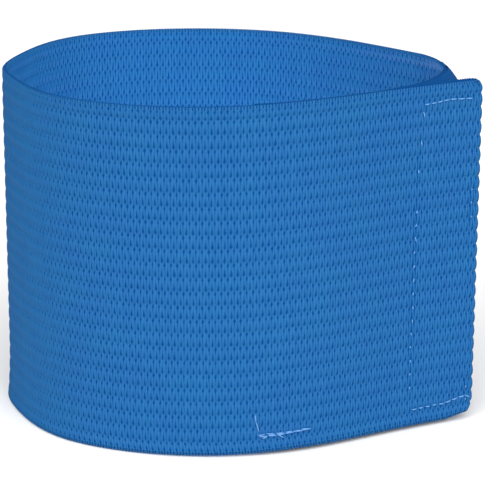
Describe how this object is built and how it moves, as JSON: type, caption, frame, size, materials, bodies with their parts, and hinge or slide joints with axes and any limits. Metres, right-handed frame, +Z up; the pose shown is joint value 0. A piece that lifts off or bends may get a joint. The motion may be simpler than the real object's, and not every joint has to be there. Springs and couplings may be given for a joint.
{
  "type": "elastic armband",
  "caption": "Loop of wide ribbed elastic webbing standing on its edge, with a hemmed flap lapped over its other end and a hidden flat fastener between.",
  "frame": {"origin": "centre of the bounding box, on the surface that the lower edge rests on", "axes": "+X to the right towards the flap's folded end, +Y to the back, +Z up across the webbing's width"},
  "size_m": [0.1368, 0.1046, 0.1009],
  "materials": {
    "ribbed_webbing": "woven blue polyester over rubber threads, matt with a slight sheen",
    "fastener_tape": "matt dark blue hook and loop tape"
  },
  "bodies": {
    "root": {"elastic_band": "ribbed_webbing", "fastener_patch": "fastener_tape"}
  },
  "joints": []
}
